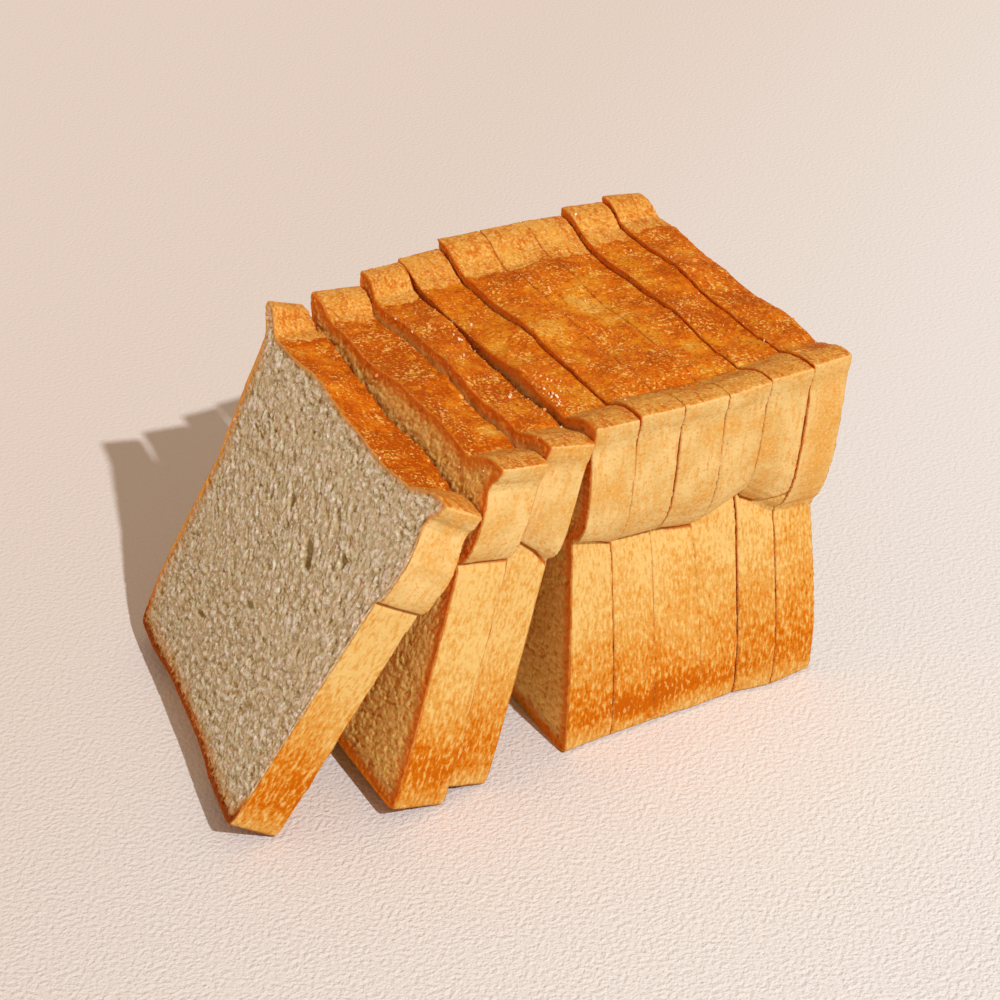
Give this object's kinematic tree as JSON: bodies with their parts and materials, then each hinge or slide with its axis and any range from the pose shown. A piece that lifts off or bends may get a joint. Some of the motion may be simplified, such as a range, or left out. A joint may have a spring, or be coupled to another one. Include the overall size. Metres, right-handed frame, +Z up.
{
  "type": "tin loaf",
  "caption": "Sliced tin loaf with a golden crust and pale open crumb: a standing block of slices, with more slices leaning back against its front.",
  "frame": {"origin": "under the middle of the whole arrangement, on the surface it rests on", "axes": "+Z up, +Y along the loaf from the leaning slices to the standing block, +X across the slices"},
  "size_m": [0.1308, 0.1988, 0.1152],
  "materials": {
    "crust": "baked golden crust, satin",
    "crumb": "open white crumb, matt"
  },
  "bodies": {
    "root": {"slice_1": "crumb", "slice_2": "crust", "slice_3": "crust", "slice_4": "crust", "slice_5": "crust", "slice_6": "crust", "slice_7": "crust", "slice_8": "crust", "slice_9": "crust"}
  },
  "joints": []
}
